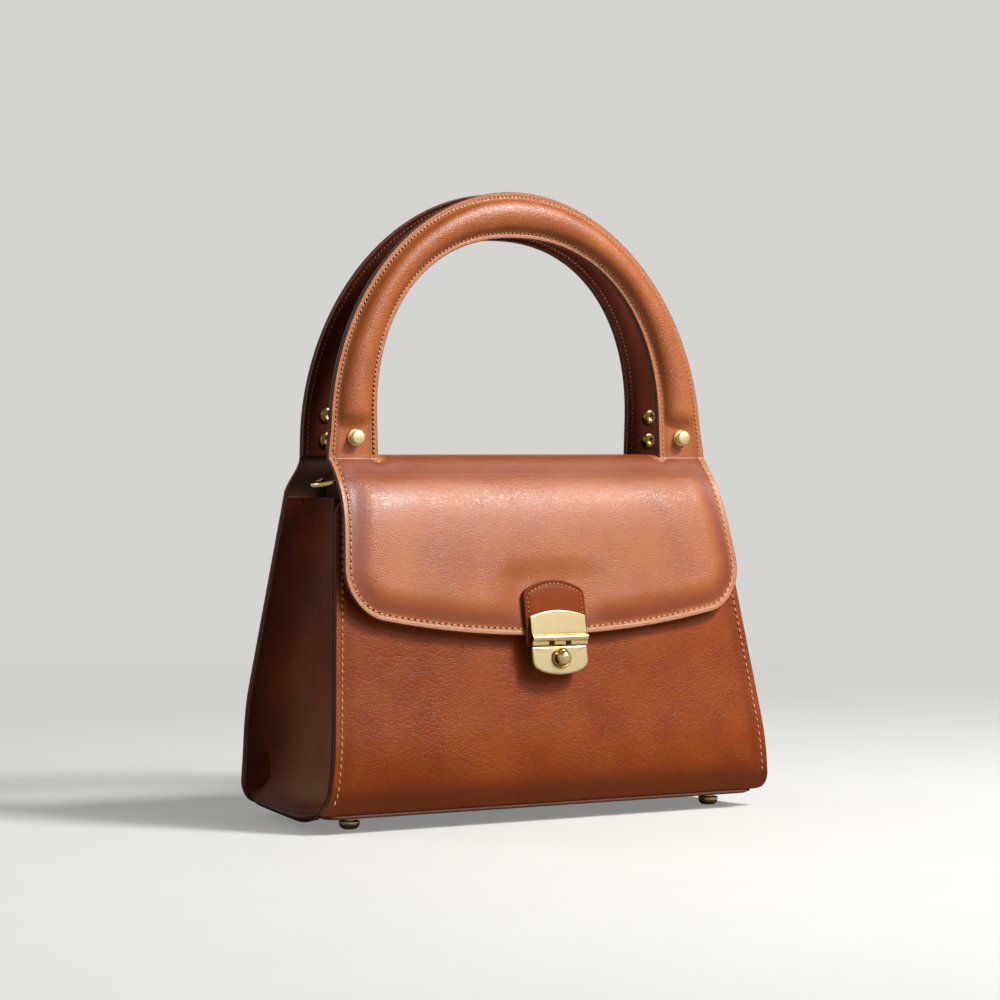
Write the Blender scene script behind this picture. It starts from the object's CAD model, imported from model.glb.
from math import atan, cos, exp, pi, radians, sin

import bpy
import numpy as np
from mathutils import Matrix, Vector
from mathutils.bvhtree import BVHTree


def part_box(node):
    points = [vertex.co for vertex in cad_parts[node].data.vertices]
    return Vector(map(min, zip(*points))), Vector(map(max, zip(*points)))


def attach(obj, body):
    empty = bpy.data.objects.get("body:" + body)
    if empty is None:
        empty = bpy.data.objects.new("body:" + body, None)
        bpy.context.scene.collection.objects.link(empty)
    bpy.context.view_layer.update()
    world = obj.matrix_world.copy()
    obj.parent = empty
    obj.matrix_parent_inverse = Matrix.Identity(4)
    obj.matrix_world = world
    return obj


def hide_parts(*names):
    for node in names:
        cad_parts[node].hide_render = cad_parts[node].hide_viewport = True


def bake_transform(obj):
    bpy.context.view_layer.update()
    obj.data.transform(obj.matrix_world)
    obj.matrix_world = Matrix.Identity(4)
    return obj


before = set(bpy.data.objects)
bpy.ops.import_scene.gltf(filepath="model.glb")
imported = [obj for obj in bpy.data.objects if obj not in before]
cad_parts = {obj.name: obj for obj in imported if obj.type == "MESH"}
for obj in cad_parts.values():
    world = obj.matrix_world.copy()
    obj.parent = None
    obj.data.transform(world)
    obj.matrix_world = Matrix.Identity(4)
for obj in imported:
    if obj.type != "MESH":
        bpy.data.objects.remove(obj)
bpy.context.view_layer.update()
baseLow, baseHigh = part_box("base_panel")
middleY = (baseLow.y + baseHigh.y) / 2  # the lock reaches out further than the back, so the bag's middle lies behind 0
mm = 0.001
print("frame loaded")

# Materials

def hexColour(code):
    channels = [int(code[i:i + 2], 16) / 255 for i in (1, 3, 5)]
    return [c / 12.92 if c <= 0.04045 else ((c + 0.055) / 1.055) ** 2.4 for c in channels] + [1]


def addNode(tree, kind, settings=None, values=None, links=None):
    node = tree.nodes.new(kind)
    for key, value in (settings or {}).items():
        setattr(node, key, value)
    for key, value in (values or {}).items():
        node.inputs[key].default_value = value
    for key, source in (links or {}).items():
        tree.links.new(source, node.inputs[key])
    return node


def startMaterial(name, settings):
    material = bpy.data.materials.new(name)
    material.use_nodes = True
    tree = material.node_tree
    shader = tree.nodes["Principled BSDF"]
    for key, value in settings.items():
        shader.inputs[key].default_value = value
    return material, tree, shader


def calfLeather(name, look):
    # Vegetable-tanned calf, drum-dyed and waxed: a satin hide whose break shows as fine stretched creases,
    # with a cloudy dye, and a burnished tone that edgeTone brings in beside the seams
    material, tree, shader = startMaterial(name, {
        "Roughness": look["roughness"], "IOR": 1.5, "Specular IOR Level": look["specular"]})
    place = addNode(tree, "ShaderNodeTexCoord").outputs["Object"]
    drift = addNode(tree, "ShaderNodeTexNoise", values={"Scale": 1 / (look["driftSize"] * mm), "Detail": 2.0},
                    links={"Vector": place})
    centred = addNode(tree, "ShaderNodeVectorMath", {"operation": "SUBTRACT"}, {1: (0.5, 0.5, 0.5)},
                      {0: drift.outputs["Color"]})
    pulled = addNode(tree, "ShaderNodeVectorMath", {"operation": "MULTIPLY_ADD"},
                     {1: (look["drift"],) * 3}, {0: centred.outputs[0], 2: place})
    laid = addNode(tree, "ShaderNodeMapping",
                   values={"Scale": (1, 1, look["stretch"]), "Rotation": (0, look["grainTurn"], 0)},
                   links={"Vector": pulled.outputs[0]})
    creases = addNode(tree, "ShaderNodeTexNoise", {"noise_type": "RIDGED_MULTIFRACTAL"},
                      {"Scale": 1 / (look["creaseLength"] * mm), "Detail": 3.0, "Roughness": 0.62,
                       "Lacunarity": 2.1, "Offset": 0.9, "Gain": 1.6}, {"Vector": laid.outputs[0]})
    creaseLine = addNode(tree, "ShaderNodeMapRange", {"interpolation_type": "SMOOTHSTEP"},
                         {"From Min": 0.55, "From Max": 1.7}, {"Value": creases.outputs["Fac"]})
    patches = addNode(tree, "ShaderNodeTexNoise", values={"Scale": 1 / (look["patchSize"] * mm), "Detail": 2.5},
                      links={"Vector": place})
    patchWeight = addNode(tree, "ShaderNodeMapRange", values={
        "From Min": 0.36, "From Max": 0.62, "To Min": look["leastCrease"], "To Max": 1.0},
        links={"Value": patches.outputs["Fac"]})
    # Burnishing beside the seams and over the ridge presses the creases flat
    edge = addNode(tree, "ShaderNodeAttribute", {"attribute_name": "edgeTone"})
    darker = addNode(tree, "ShaderNodeMath", {"operation": "MAXIMUM"}, {1: 0.0}, {0: edge.outputs["Fac"]})
    pressed = addNode(tree, "ShaderNodeMath", {"operation": "MULTIPLY_ADD"}, {1: -0.8, 2: 1.0}, {0: darker.outputs[0]})
    kept = addNode(tree, "ShaderNodeMath", {"operation": "MULTIPLY"},
                   links={0: pressed.outputs[0], 1: patchWeight.outputs[0]})
    creaseHeight = addNode(tree, "ShaderNodeMath", {"operation": "MULTIPLY"},
                           links={0: creaseLine.outputs[0], 1: kept.outputs[0]})
    pores = addNode(tree, "ShaderNodeTexVoronoi", {"feature": "SMOOTH_F1"},
                    {"Scale": 1 / (look["poreSize"] * mm), "Smoothness": 0.4}, {"Vector": pulled.outputs[0]})
    poreBump = addNode(tree, "ShaderNodeBump", values={"Strength": 1.0, "Distance": look["poreDepth"] * mm},
                       links={"Height": pores.outputs["Distance"]})
    creaseBump = addNode(tree, "ShaderNodeBump", {"invert": True},
                         {"Strength": 1.0, "Distance": look["creaseDepth"] * mm},
                         {"Height": creaseHeight.outputs[0], "Normal": poreBump.outputs[0]})
    tree.links.new(creaseBump.outputs[0], shader.inputs["Normal"])

    # The dye is cloudy, darker where burnished, paler on the bare margin, and darker again down in the creases
    cloud = addNode(tree, "ShaderNodeTexNoise",
                    values={"Scale": 1 / (look["cloudSize"] * mm), "Detail": 4.0, "Roughness": 0.55},
                    links={"Vector": place})
    cloudShare = addNode(tree, "ShaderNodeMapRange", values={"From Min": 0.33, "From Max": 0.67},
                         links={"Value": cloud.outputs["Fac"]})
    dye = addNode(tree, "ShaderNodeMix", {"data_type": "RGBA"},
                  {6: hexColour(look["deep"]), 7: hexColour(look["pale"])}, {0: cloudShare.outputs[0]})
    paler = addNode(tree, "ShaderNodeMath", {"operation": "MULTIPLY", "use_clamp": True}, {1: -1.0},
                    {0: edge.outputs["Fac"]})
    burnished = addNode(tree, "ShaderNodeMix", {"data_type": "RGBA"}, {7: hexColour(look["burnished"])},
                        {0: darker.outputs[0], 6: dye.outputs[2]})
    margin = addNode(tree, "ShaderNodeMix", {"data_type": "RGBA"}, {7: hexColour(look["margin"])},
                     {0: paler.outputs[0], 6: burnished.outputs[2]})
    creaseShade = addNode(tree, "ShaderNodeMath", {"operation": "MULTIPLY"}, {1: look["creaseShade"]},
                          {0: creaseHeight.outputs[0]})
    worn = addNode(tree, "ShaderNodeMix", {"data_type": "RGBA"}, {7: hexColour(look["creaseColour"])},
                   {0: creaseShade.outputs[0], 6: margin.outputs[2]})
    tree.links.new(worn.outputs[2], shader.inputs["Base Color"])

    dull = addNode(tree, "ShaderNodeMapRange", values={
        "From Min": 0.3, "From Max": 0.7, "To Min": look["roughness"] - 0.05, "To Max": look["roughness"] + 0.07},
        links={"Value": cloud.outputs["Fac"]})
    tree.links.new(dull.outputs[0], shader.inputs["Roughness"])
    return material


def grainedFinish(name, colourA, colourB, grain, depth, settings, stretch=(1, 1, 1)):
    # Any plain finish with a fine grain: two tones mixed by a noise of the grain's real size in mm, and its bump
    material, tree, shader = startMaterial(name, settings)
    place = addNode(tree, "ShaderNodeTexCoord").outputs["Object"]
    laid = addNode(tree, "ShaderNodeMapping", values={"Scale": stretch}, links={"Vector": place})
    noise = addNode(tree, "ShaderNodeTexNoise", values={"Scale": 1 / (grain * mm), "Detail": 3.0, "Roughness": 0.6},
                    links={"Vector": laid.outputs[0]})
    share = addNode(tree, "ShaderNodeMapRange", values={"From Min": 0.35, "From Max": 0.65},
                    links={"Value": noise.outputs["Fac"]})
    tone = addNode(tree, "ShaderNodeMix", {"data_type": "RGBA"}, {6: hexColour(colourA), 7: hexColour(colourB)},
                   {0: share.outputs[0]})
    bump = addNode(tree, "ShaderNodeBump", values={"Strength": 1.0, "Distance": depth * mm},
                   links={"Height": noise.outputs["Fac"]})
    tree.links.new(tone.outputs[2], shader.inputs["Base Color"])
    tree.links.new(bump.outputs[0], shader.inputs["Normal"])
    return material


def metal(roughness):
    return {"Metallic": 1.0, "Roughness": roughness}


# Sizes, lengths and depths of the hide's marks are in mm, only drift is in metres
leatherLook = {
    "deep": "#924716", "pale": "#A45822", "burnished": "#702B00", "margin": "#A4643A", "creaseColour": "#783606",
    "creaseShade": 0.30, "roughness": 0.40, "specular": 0.5, "drift": 0.008, "driftSize": 22, "cloudSize": 27,
    "patchSize": 34, "stretch": 2.5, "grainTurn": 0.8, "creaseLength": 2.3, "creaseDepth": 0.07, "leastCrease": 0.5,
    "poreSize": 0.55, "poreDepth": 0.035,
}
wallLook = dict(leatherLook, deep="#782E02", pale="#883B04", burnished="#542000", margin="#96582C",
                creaseColour="#642804", specular=0.19, roughness=0.42, stretch=1.8, creaseLength=3.2,
                creaseDepth=0.12, poreDepth=0.02)
gussetLook = dict(leatherLook, deep="#5E2206", pale="#7C3410", burnished="#3A1204", creaseColour="#3C1404",
                  specular=0.10, roughness=0.45, stretch=0.5)
strapLook = dict(leatherLook, deep="#421404", pale="#52200A", burnished="#361004", margin="#6A3216",
                 creaseColour="#300E04", specular=0.08, roughness=0.5)
tabLook = dict(leatherLook, deep="#762B00", pale="#823602", specular=0.12, roughness=0.45, creaseLength=2.0,
               creaseDepth=0.04)
bagLeather = calfLeather("waxedCalfTan", leatherLook)
wallLeather = calfLeather("waxedCalfWall", wallLook)
gussetLeather = calfLeather("waxedCalfGusset", gussetLook)
strapLeather = calfLeather("darkCalfStrapLining", strapLook)
tabLeather = calfLeather("waxedCalfTab", tabLook)
# Edge paint: several coats, sanded and waxed, so it is smooth, darker than the hide and slightly glossy
edgePaint = grainedFinish("paintedLeatherEdge", "#66402F", "#563426", 1.6, 0.03,
                          {"Roughness": 0.5, "Specular IOR Level": 0.3})
wallEdgePaint = grainedFinish("paintedWallEdge", "#5C3626", "#4A281A", 1.6, 0.03,
                              {"Roughness": 0.55, "Specular IOR Level": 0.15})
# Goat suede: a short nap, so no gloss but a soft sheen at a glancing angle
liningSuede = grainedFinish("goatSuedeLining", "#B58A5C", "#9C7449", 0.9, 0.12,
                            {"Roughness": 0.95, "Sheen Weight": 0.5, "Sheen Roughness": 0.5})
# The flesh side of the hide, dyed and unpolished: dark, matt and a little fibrous
fleshSide = grainedFinish("dyedLeatherBack", "#46200F", "#381709", 0.7, 0.10, {"Roughness": 0.85})
# Waxed linen thread: paler than the hide, with the fine twist of its plies
threadTan = grainedFinish("waxedLinenThread", "#CF9468", "#B57A4E", 0.5, 0.05, {"Roughness": 0.6})
# The inner faces of the handles and the gussets are sewn in a brown thread that hardly shows
threadBrown = grainedFinish("brownLinenThread", "#7E4A28", "#66391D", 0.5, 0.05, {"Roughness": 0.7})
# The awl's slots between the stitches, dark because little light gets into them
awlHole = grainedFinish("awlHoleShade", "#541C04", "#381204", 0.5, 0.02, {"Roughness": 0.8, "Specular IOR Level": 0.2})
# Stamped brass, polished and lacquered: pale gold with a fine buffing haze that runs along the plates
brass = grainedFinish("lacqueredBrass", "#CDB98E", "#C3AF84", 0.14, 0.0012, metal(0.28), (0.08, 1, 1))
# Turned brass: mirror bright on the knob, the bar and the rings, satin on the studs, duller on the worn feet,
# and toned a darker gold on the rivets and the knob's collar
brightBrass = grainedFinish("polishedBrass", "#E9D09A", "#DFC389", 0.8, 0.004, metal(0.14))
satinBrass = grainedFinish("satinBrass", "#E6D29E", "#DAC692", 0.9, 0.004, metal(0.4))
footBrass = grainedFinish("wornFootBrass", "#F0DCA8", "#E0C88E", 0.9, 0.004, metal(0.42))
agedBrass = grainedFinish("tonedBrass", "#B3935A", "#967643", 0.9, 0.004, metal(0.3))
# The slots in the bar's strip, where tarnish and shadow sit
slotShade = grainedFinish("darkenedSlot", "#4A3A20", "#35290F", 0.3, 0.002, metal(0.5))
# Pieces inside: plated steel with a soft grey gloss, drawn spring wire, pressed board and needled felt
nickelSteel = grainedFinish("nickelPlatedSteel", "#B9B6AE", "#A9A59B", 0.6, 0.01, metal(0.3))
springSteel = grainedFinish("springSteel", "#A7A39B", "#8F8B83", 0.4, 0.01, metal(0.35))
pressedBoard = grainedFinish("pressedLeatherboard", "#7A5A3C", "#664930", 1.2, 0.1, {"Roughness": 0.9})
feltFiller = grainedFinish("handleFelt", "#CFC4AE", "#B7AB94", 0.9, 0.15, {"Roughness": 1.0})
print("materials ready")

# Shells: every leather is one closed skin with a face, a rounded painted edge and a back

def unit(vectors):
    return vectors / np.maximum(np.linalg.norm(vectors, axis=-1, keepdims=True), 1e-12)


def smoothStep(value):
    value = np.clip(value, 0, 1)
    return value * value * (3 - 2 * value)


def bell(value, middle, width):
    return np.exp(-((value - middle) / width) ** 2)


def bandTone(distance, start, rise, end, fall):
    # A tone that comes in over rise from start, and goes out over fall before end
    return smoothStep((distance - start) / rise) * smoothStep((end - distance) / fall)


def faceNormals(points, quads):
    corners = points[quads]
    return unit(np.cross(corners[:, 2] - corners[:, 0], corners[:, 3] - corners[:, 1]))


def pointNormals(points, quads):
    total = np.zeros_like(points)
    normals = faceNormals(points, quads)
    for k in range(4):
        np.add.at(total, quads[:, k], normals)
    return unit(total)


def freeEdges(quads):
    # The edges that only one face uses, in the direction in which that face runs along them
    users = {}
    for f, quad in enumerate(quads.tolist()):
        for k in range(4):
            users[(quad[k], quad[(k + 1) % 4])] = f
    return [(a, b, f) for (a, b), f in users.items() if (b, a) not in users]


def edgeDistances(points, quads):
    # How far each point of a sheet lies from the sheet's free edges, worked out some points at a time
    edges = freeEdges(quads)
    starts = points[[e[0] for e in edges]]
    run = points[[e[1] for e in edges]] - starts
    lengths = np.maximum((run ** 2).sum(1), 1e-12)
    nearest = np.empty(len(points))
    for low in range(0, len(points), 2000):
        some = points[low:low + 2000, None, :]
        along = np.clip(((some - starts) * run).sum(2) / lengths, 0, 1)
        nearest[low:low + 2000] = np.sqrt(((some - starts - along[..., None] * run) ** 2).sum(2).min(1))
    return nearest


def linkObject(name, data):
    item = bpy.data.objects.new(name, data)
    bpy.context.scene.collection.objects.link(item)
    return item


def addPiece(name, points, faces, materials, faceSlots=None, tone=None, sharpAngle=None):
    mesh = bpy.data.meshes.new(name)
    mesh.from_pydata([tuple(p) for p in points], [], [tuple(f) for f in faces])
    for material in materials:
        mesh.materials.append(material)
    if faceSlots is not None:
        mesh.polygons.foreach_set("material_index", faceSlots)
    mesh.polygons.foreach_set("use_smooth", [True] * len(mesh.polygons))
    if tone is not None:
        mesh.attributes.new("edgeTone", "FLOAT", "POINT").data.foreach_set("value", np.asarray(tone, dtype=float))
    mesh.validate()
    piece = linkObject(name, mesh)
    if sharpAngle is not None:
        mesh.set_sharp_from_angle(angle=radians(sharpAngle))
    return piece


def leatherShell(name, face, back, quads, materials, bulge, tone):
    # face and back are matching points; the rim rounds out between them by bulge, as a bevelled and painted edge does
    rimSteps = 5
    count = len(face)
    normals = faceNormals(face, quads)
    rimEdges = freeEdges(quads)
    outward = {}
    for a, b, f in rimEdges:
        way = np.cross(unit(face[b] - face[a]), normals[f])
        for v in (a, b):
            outward[v] = outward.get(v, np.zeros(3)) + way
    points = [face, back]
    ringIndex = {}
    total = 2 * count
    for v, way in outward.items():
        size = np.linalg.norm(way)
        way = way / size if size > 0.3 else way * 0
        middle, half = (face[v] + back[v]) / 2, (face[v] - back[v]) / 2
        points.append(np.array([middle + cos(pi * k / rimSteps) * half + way * bulge * sin(pi * k / rimSteps)
                                for k in range(1, rimSteps)]))
        ringIndex[v] = [v] + list(range(total, total + rimSteps - 1)) + [count + v]
        total += rimSteps - 1
    faces = quads.tolist() + [[count + v for v in reversed(quad)] for quad in quads.tolist()]
    slots = [0] * len(quads) + [2] * len(quads)
    for a, b, f in rimEdges:
        for k in range(rimSteps):
            faces.append([ringIndex[b][k], ringIndex[a][k], ringIndex[a][k + 1], ringIndex[b][k + 1]])
            slots.append(1)
    allTone = np.zeros(total)
    allTone[:count] = tone
    return addPiece(name, np.concatenate(points), faces, materials, slots, allTone)


def gridQuads(index, flip=False):
    index = np.asarray(index)
    quads = np.stack([index[:-1, :-1], index[:-1, 1:], index[1:, 1:], index[1:, :-1]], -1).reshape(-1, 4)
    return quads[:, ::-1] if flip else quads


def sheetOf(rows, flip=False):
    # The points and quads of a sheet that is given as rows of points
    points = np.array([p for row in rows for p in row])
    return points, gridQuads(np.arange(len(points)).reshape(len(rows), -1), flip)


def ringFaces(count, total, closed=False):
    # The faces of a tube through total rings of count points: capped at both ends, or closed back on itself
    faces = []
    for r in range(total if closed else total - 1):
        low, high = r * count, (r + 1) % total * count
        faces += [(low + k, low + (k + 1) % count, high + (k + 1) % count, high + k) for k in range(count)]
    if not closed:
        faces += [tuple(range(count))[::-1], tuple(range((total - 1) * count, total * count))]
    return faces


def loftRings(name, rings, materials, closed=False, inwards=False, sharpAngle=None):
    # inwards is for rings that run the other way round, whose faces would point inwards
    faces = ringFaces(len(rings[0]), len(rings), closed)
    if inwards:
        faces = [face[::-1] for face in faces]
    return addPiece(name, [p for ring in rings for p in ring], faces, materials, sharpAngle=sharpAngle)


# Sizes that several leathers share, in metres, as the frame has them

bag = {
    "halfWidth": 0.120, "halfDepth": 0.0538, "bottom": 0.0088, "shoulder": 0.150, "backTop": 0.1692,
    "lean": 0.193, "taper": 0.107, "tuckHeight": 0.036, "tuckRadius": 0.092, "bottomCorner": 0.010,
    "topCorner": 0.007, "wall": 0.0024, "handleFace": 0.016, "recess": 0.010, "gussetLeather": 0.0018,
    "grooveWidth": 0.0007,
}
arch = {
    "outerHalf": 0.1017, "innerHalf": 0.0780, "outerSpring": 0.178, "innerSpring": 0.1861,
    "outerRise": 0.1158, "innerRise": 0.0865, "outerPower": 1.96, "innerPower": 2.2, "lean": 0.048, "ridge": 0.1715,
    "legWidth": 0.0237, "legSteps": 8, "stations": 150, "skin": 0.0017, "glue": 0.0003, "strap": 0.0016,
    "padHeight": 0.0046, "padWidth": 0.77, "padEnd": 0.0075, "hollow": 0.92,
}
flare = {"out": 0.0017, "at": 0.1695, "above": 0.0085, "below": 0.0125}
legMiddle = arch["outerHalf"] - arch["legWidth"] / 2
lifted = np.array([0, middleY, 0])  # the leathers are worked out about 0 and set on the bag's middle
rimBulge = 0.0004  # how far a painted edge rounds out


def halfWidth(z):
    return bag["halfWidth"] - bag["taper"] * (z - bag["bottom"])


def flareOut(z):
    # the flap widens a little where it comes down from the legs
    return flare["out"] * bell(z, flare["at"], np.where(z > flare["at"], flare["above"], flare["below"]))


def wallY(z):
    rise = z - bag["bottom"]
    tuck = np.maximum(0, bag["tuckHeight"] - rise) ** 2 / (2 * bag["tuckRadius"])
    return bag["halfDepth"] - bag["lean"] * rise - tuck


def backY(z):
    share = smoothStep((z - bag["shoulder"]) / (bag["backTop"] - bag["shoulder"]))
    atShoulder = wallY(np.minimum(z, bag["shoulder"]))
    return atShoulder + (bag["handleFace"] - atShoulder) * share


def cornerCut(distance, radius):
    inside = np.maximum(0, radius - distance)
    return radius - np.sqrt(np.maximum(0, radius ** 2 - inside ** 2))


def handleFace(z):
    return bag["handleFace"] - arch["lean"] * (z - arch["ridge"])


def toEdge(width, steps):
    # Distances from an edge that lie close together at the edge and open out towards width
    return [width * (1 - cos(pi / 2 * k / steps)) for k in range(steps + 1)]


def acrossLeg():
    # Distances from the outer edge across a leg, fine at both edges where the stitching runs
    low = toEdge(arch["legWidth"] / 2, 12)
    return low + [arch["legWidth"] - d for d in reversed(low[:-1])]


def bowed(turn, power):
    # A point of a unit arch that is fuller than a circle where power is above 2
    across, up = cos(turn), sin(turn)
    return (abs(across) ** (2 / power) * (1 if across > 0 else -1), up ** (2 / power))


def archPath(legBottom, count, legRows, flared=0):
    # Pairs of outer and inner edge points, up the left leg, over the top and down the right leg
    spots = [(-arch["outerHalf"], legBottom + rise, -arch["innerHalf"], legBottom + rise) for rise in legRows]
    low = spots[-1][1]
    for k in range(1, arch["legSteps"] + 1):
        share = k / arch["legSteps"]
        spots.append((-arch["outerHalf"], low + (arch["outerSpring"] - low) * share,
                      -arch["innerHalf"], low + (arch["innerSpring"] - low) * share))
    for k in range(1, count):
        turn = pi * (1 - k / count)
        outerX, outerZ = bowed(turn, arch["outerPower"])
        innerX, innerZ = bowed(turn, arch["innerPower"])
        spots.append((arch["outerHalf"] * outerX, arch["outerSpring"] + arch["outerRise"] * outerZ,
                      arch["innerHalf"] * innerX, arch["innerSpring"] + arch["innerRise"] * innerZ))
    spots = [(ox + flared * float(flareOut(oz)) * (1 if ox > 0 else -1), oz, ix, iz) for ox, oz, ix, iz in spots]
    return spots + [(-ox, oz, -ix, iz) for ox, oz, ix, iz in reversed(spots[:len(legRows) + arch["legSteps"]])]


def acrossArch(station, side):
    # The points across the arch at one pair of edge points, on the front (-1) or the rear (1) handle
    ox, oz, ix, iz = station
    row = []
    for d in acrossLeg():
        share = d / arch["legWidth"]
        x, z = ox + (ix - ox) * share, oz + (iz - oz) * share
        row.append((x, side * handleFace(z), z))
    return row


def padSwell(share, z, low):
    # The roll under the skin: a flat-topped cushion between the stitch lines, square with round corners at its ends
    across = np.abs(share - 0.5) / (arch["padWidth"] / 2)
    end = np.clip(1 - (z - low) / arch["padEnd"], 0, 1)
    out = np.clip((across ** 3 + end ** 3) ** (1 / 3), 0, 1)
    return (1 - out ** 2.3) ** 0.85


def softWaves(points, size, height, seed):
    # A slow unevenness of the hide, from three crossed waves
    x, z = points[:, 0] / size, points[:, 2] / size
    wave = np.sin(x * 2.1 + z * 1.3 + seed) + np.sin(x * 0.9 - z * 2.4 + seed * 2.3)
    return (wave + np.sin(x * 3.3 + z * 0.4 + seed * 0.7)) * height / 3


def archLeather(columnRows, side, ridgeRows, legBottom, legRows, flared=0):
    # A sheet with two legs that run on into one arch: rows of the sheet from its lower edge to legBottom,
    # the arch, and where there is one, the strip between the legs that goes on over the ridge
    wide = len(acrossLeg())
    points, index = [], []
    for row in columnRows:
        index.append(list(range(len(points), len(points) + len(row))))
        points += row
    quads = [gridQuads(index, side > 0)]
    top = index[-1]
    archIndex = [top[:wide]]
    for station in archPath(legBottom, arch["stations"], legRows, flared)[1:-1]:
        archIndex.append(list(range(len(points), len(points) + wide)))
        points += acrossArch(station, side)
    archIndex.append(top[::-1][:wide])
    quads.append(gridQuads(archIndex, side > 0))
    archEnd = len(points)
    if ridgeRows:
        middle = top[wide - 1:len(top) - wide + 1]
        stripIndex = [middle]
        for y, z in ridgeRows:
            stripIndex.append(list(range(len(points), len(points) + len(middle))))
            points += [(points[v][0] * flap["ridgeHalf"] / arch["innerHalf"], y, z) for v in middle]
        quads.append(gridQuads(stripIndex, side > 0))
    share = np.full(len(points), np.nan)
    for ring in archIndex[1:-1]:
        share[ring] = 1 - np.array(acrossLeg()) / arch["legWidth"]
    return np.array(points, dtype=float), np.concatenate(quads), share, archEnd


def columnSpots(middleSteps):
    # Columns across a sheet: distance from its edge for the legs, then shares across the middle
    left = [("leg", -1, d) for d in acrossLeg()]
    middle = [("middle", -1 + 2 * k / middleSteps, 0) for k in range(1, middleSteps)]
    return left + middle + [("leg", 1, d) for d in reversed(acrossLeg())]


def columnX(spot, edge, legSpan=arch["legWidth"]):
    kind, place, d = spot
    return place * (edge - d * legSpan / arch["legWidth"] if kind == "leg" else edge - legSpan)


# The front leather: one hide that makes the flap, goes over the ridge and runs up into the front handle

flap = {
    "foldZ": 0.166, "foldStart": 0.160, "low": 0.0865, "length": 0.0795, "standoff": 0.0064, "foldY": 0.0172,
    "ease": 7, "sag": 0.0130, "corner": 0.020, "inset": 0.0012, "legBottom": 0.1683, "rows": 44,
    "ridge": 0.1700, "ridgeFront": 0.0095, "ridgeRun": 0.0213, "ridgeBack": 0.0158, "ridgeHalf": 0.0777,
    "thickness": 0.0024, "foldThickness": 0.0019, "ridgeThickness": 0.0020, "fade": 0.020,
    "crown": 0.0017, "margin": 0.0036, "crownRun": 0.0120, "stitchIn": 0.0026, "groove": 0.0004,
    "waveSize": 0.024, "waveHeight": 0.00035, "padLow": 0.1838, "tabHalf": 0.0172, "tabTop": 0.1105, "tabEase": 0.013,
    "creaseDepth": 0.00014, "creasePitch": 0.0012, "creaseBend": 12, "creaseSpread": 0.0028,
    "band": (0.0034, 0.0008, 0.0140, 0.0090), "bandTone": 0.9, "ridgeTone": 0.75,
    "legBand": (0.0030, 0.0006, 0.0062, 0.0030), "legTone": 0.45, "paleMargin": 0.0030, "marginTone": 0.9,
}
# outward distance and height down the curve from the ridge to the flap, as (y, z)
foldLine = [(0.0269, 0.1560), (0.0238, 0.1600), (0.0220, 0.1621), (0.0201, 0.1643), (0.0181, 0.1665), (0.0161, 0.1683),
            (0.0142, 0.1692), (0.0120, 0.1697), (0.0095, 0.1699), (0.0060, 0.1700)]


def smoothPath(line, parts):
    # A curve through every point but the first and last
    spots = [Vector(p) for p in line]
    path = [spots[1]]
    for k in range(1, len(spots) - 2):
        a, b, c, d = spots[k - 1:k + 3]
        for s in range(1, parts + 1):
            t = s / parts
            path.append(((b * 2) + (c - a) * t + (a * 2 - b * 5 + c * 4 - d) * t ** 2
                         + (b * 3 - a - c * 3 + d) * t ** 3) / 2)
    return path


def flapY(z):
    share = np.clip((flap["foldZ"] - z) / flap["length"], 0, 1)
    ease = (1 - share) ** flap["ease"]
    stand = flap["standoff"] - (flap["standoff"] + wallY(flap["foldZ"]) - flap["foldY"]) * ease
    return wallY(z) + stand


def flapEdge(z):
    low = halfWidth(z) - flap["inset"]
    return low + (arch["outerHalf"] - low) * smoothStep((z - 0.156) / 0.012) + flareOut(z)


def flapX(spot, z):
    # near the fold the leg columns draw together to the handle's own width
    span = arch["legWidth"] + float(flareOut(z)) * float(smoothStep((z - 0.148) / 0.020))
    return columnX(spot, float(flapEdge(z)), span)


def flapBottom(x):
    edge = flapEdge(flap["low"])
    share = min(1, abs(x) / edge)
    return flap["low"] + flap["sag"] * share ** 2 + float(cornerCut((1 - share) * edge, flap["corner"]))


foldCurve = smoothPath(foldLine, 3)
foldRows, overRidge = foldCurve[1:13], foldCurve[13:]  # the flap's share of the fold, and the strip's


def flapColumnRows():
    edgeRows = toEdge(0.012, 12)
    rows = [[] for row in range(len(edgeRows) + flap["rows"] + len(foldRows))]
    for spot in columnSpots(60):
        bottom = flapBottom(columnX(spot, flapEdge(flap["low"])))
        heights = [bottom + d for d in edgeRows]
        start = heights[-1]
        heights += [start + (flap["foldStart"] - start) * (1 - (1 - k / flap["rows"]) ** 1.35)
                    for k in range(1, flap["rows"] + 1)]
        for r, z in enumerate(heights):
            rows[r].append((flapX(spot, z), -float(flapY(z)), z))
        for k, (out, z) in enumerate(foldRows):
            rows[len(heights) + k].append((flapX(spot, z), -out, z))
    return rows


ridgeRows = [(-out, z) for out, z in overRidge]
ridgeRows += [(-flap["ridgeFront"] + flap["ridgeRun"] * k / 12, flap["ridge"]) for k in range(1, 12)]
ridgeRows += [(flap["ridgeBack"] - d, flap["ridge"]) for d in (0.0040, 0.0028, 0.0018, 0.0009, 0.0003, 0)]
legRows = [0.0004 * k for k in range(16)]


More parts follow.
